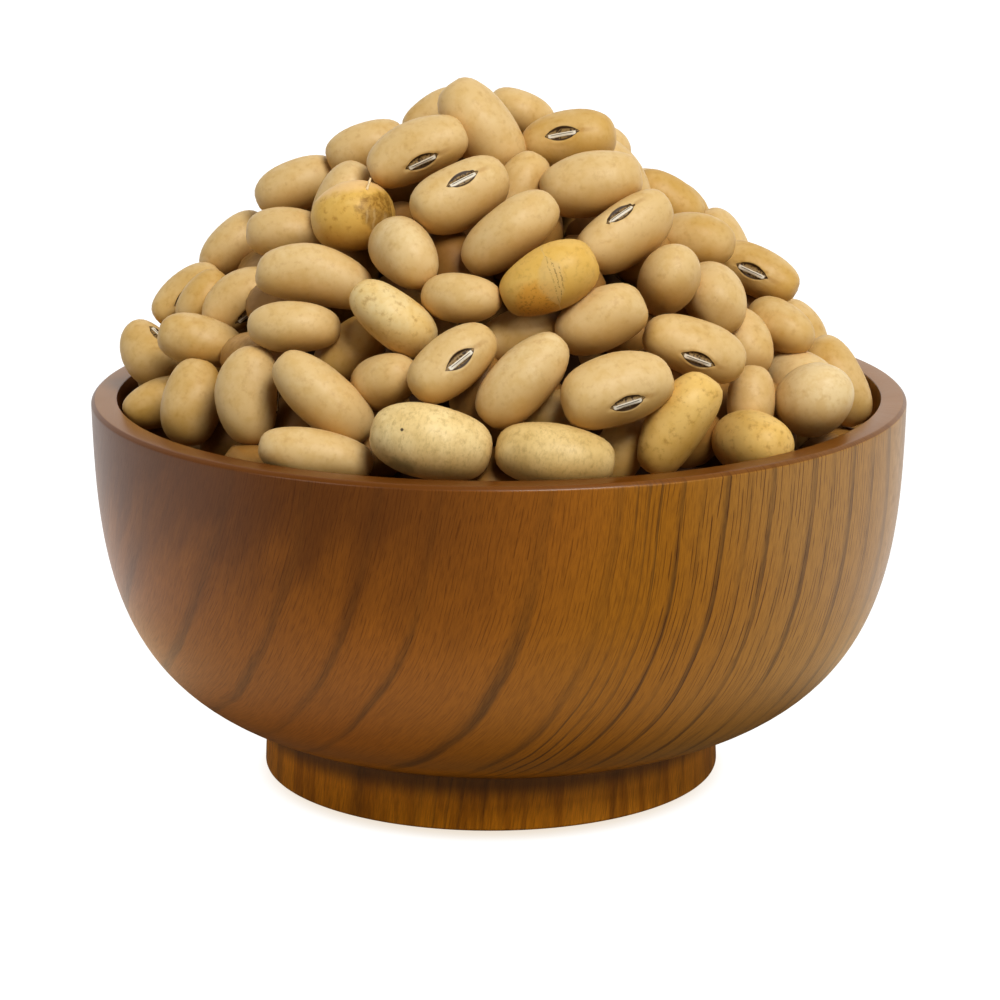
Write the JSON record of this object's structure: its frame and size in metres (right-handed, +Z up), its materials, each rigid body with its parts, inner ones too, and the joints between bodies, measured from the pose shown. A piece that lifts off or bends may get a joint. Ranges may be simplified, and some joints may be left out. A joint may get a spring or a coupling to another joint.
{
  "type": "bowl of dried beans",
  "caption": "Turned wooden bowl on a low foot, heaped above the rim with tan kidney-shaped dried beans.",
  "frame": {"origin": "on the surface that the foot stands on, below the centre of the rim", "axes": "+Z up along the bowl's axis; -Y towards the picture's camera"},
  "size_m": [0.12, 0.12, 0.1029],
  "materials": {
    "wood": "lacquered, orange-brown, with darker growth rings",
    "bean": "dry seed coat, tan, with a slight sheen"
  },
  "bodies": {
    "root": {"bowl": "wood", "beans": "bean"}
  },
  "joints": []
}
